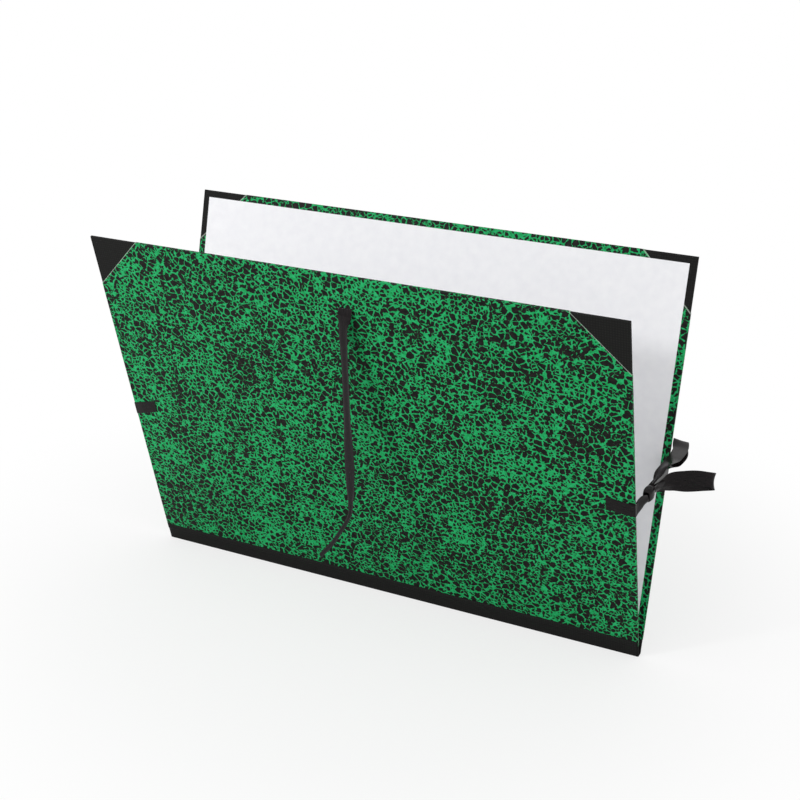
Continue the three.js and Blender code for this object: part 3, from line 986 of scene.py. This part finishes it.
def studio_floor():
    """A pale floor that keeps the shadow near the portfolio and fades into the white beyond it."""
    material, tree = new_material("studio_floor")
    shader = add(
        tree,
        "ShaderNodeBsdfPrincipled",
        inputs={"Base Color": linear("floor"), "Roughness": 0.9, "Specular IOR Level": 0.1},
    )
    glow = add(tree, "ShaderNodeEmission", inputs={"Color": (1, 1, 1, 1), "Strength": 1.0})
    place = add(tree, "ShaderNodeTexCoord", out="Object")
    away = add(tree, "ShaderNodeVectorMath", {"operation": "LENGTH"}, {0: place}, out="Value")
    fade = add(
        tree,
        "ShaderNodeMapRange",
        {"interpolation_type": "SMOOTHSTEP"},
        {
            "Value": away,
            "From Min": FLOOR_FADE_START,
            "From Max": FLOOR_FADE_END,
            "To Min": 0.7,
            "To Max": 1.0,
        },
    )
    camera_ray = add(tree, "ShaderNodeLightPath", out="Is Camera Ray")
    share = add(tree, "ShaderNodeMath", {"operation": "MULTIPLY"}, {0: fade, 1: camera_ray})
    mixed = add(tree, "ShaderNodeMixShader", inputs={0: share, 1: shader, 2: glow})
    add(tree, "ShaderNodeOutputMaterial", inputs={"Surface": mixed})
    mesh = bpy.data.meshes.new("floor")
    reach, drop = 8, 0.2 * MM
    signs = ((-1, -1), (1, -1), (1, 1), (-1, 1))
    corners = [(x * reach, y * reach, -drop) for x, y in signs]
    mesh.from_pydata(corners, [], [(0, 1, 2, 3)])
    mesh.materials.append(material)
    floor = bpy.data.objects.new("floor", mesh)
    bpy.context.scene.collection.objects.link(floor)


def studio_light():
    """A white surround and three soft lamps at a plain level."""
    world = bpy.data.worlds.new("studio")
    bpy.context.scene.world = world
    world.use_nodes = True
    tree = world.node_tree
    tree.nodes.clear()
    camera_ray = add(tree, "ShaderNodeLightPath", out="Is Camera Ray")
    glossy_ray = add(tree, "ShaderNodeLightPath", out="Is Glossy Ray")
    through_ray = add(tree, "ShaderNodeLightPath", out="Is Transmission Ray")
    seen = add(tree, "ShaderNodeMath", {"operation": "MAXIMUM"}, {0: camera_ray, 1: glossy_ray})
    seen = add(tree, "ShaderNodeMath", {"operation": "MAXIMUM"}, {0: seen, 1: through_ray})
    strength = add(
        tree,
        "ShaderNodeMapRange",
        inputs={"Value": seen, "To Min": SURROUND_LIGHT, "To Max": 1.0},
    )
    light = add(
        tree,
        "ShaderNodeBackground",
        inputs={"Color": (1, 1, 1, 1), "Strength": strength},
    )
    add(tree, "ShaderNodeOutputWorld", inputs={"Surface": light})
    for lamp in LAMPS:
        place_lamp(*lamp)


def dress(frame, cloth):
    """Gives every flat piece of the frame its finish."""
    finishes = {
        "board": grey_board(),
        "marbled_paper": marbled_paper(),
        "corner_cloth": cloth,
        "lining": lining_paper(),
    }
    for name, obj in frame["nodes"].items():
        for part, material in finishes.items():
            if part in name:
                obj.data.materials.clear()
                obj.data.materials.append(material)


def bind_spine(cloth):
    """The spine's outer and inner cloth, which bend between the covers."""
    for node, straps in (("spine_cloth", spine_cloth()), ("joint_cloth", joint_cloth())):
        piece = mesh_object("bent_" + node, straps, cloth)
        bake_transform(piece)
        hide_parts(node)


def tie_ribbons():
    """The six ribbons and the two knots, each in place of its plain solid."""
    satin = satin_ribbon()
    paths = {
        "front_ribbon_top": hanging_ribbon(-1),
        "back_ribbon_top": hanging_ribbon(1),
        "front_ribbon_right": tied_front_ribbon(1, RIGHT_RIBBON_DROP, SIDE_LOOP_REACH, SIDE_LOOP),
        "front_ribbon_left": tied_front_ribbon(
            -1, LEFT_RIBBON_DROP, DROOPING_LOOP_REACH, DROOPING_LOOP
        ),
        "back_ribbon_right": tied_back_ribbon(1),
        "back_ribbon_left": tied_back_ribbon(-1),
    }
    for node, path in paths.items():
        piece = mesh_object("satin_" + node, [strap(path, RIBBON_THICKNESS, RIBBON_WIDTH)], satin)
        if node in ("back_ribbon_right", "back_ribbon_left"):
            # It bends along its free length, from the back cover's edge to the knot.
            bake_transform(piece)
        else:
            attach(piece, "front_cover" if node.startswith("front") else "back_cover")
        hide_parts(node)
    for hand, node in ((1, "right_knot"), (-1, "left_knot")):
        band = strap(knot_band(hand), RIBBON_THICKNESS, KNOT_LENGTH, closed=True)
        piece = mesh_object("satin_" + node, [band], satin)
        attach(piece, "front_cover")
        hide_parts(node)


def main():
    """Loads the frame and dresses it."""
    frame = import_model()
    bpy.context.scene.view_settings.view_transform = "Standard"
    place_camera()
    studio_floor()
    studio_light()
    cloth = book_cloth()
    dress(frame, cloth)
    bind_spine(cloth)
    tie_ribbons()


main()
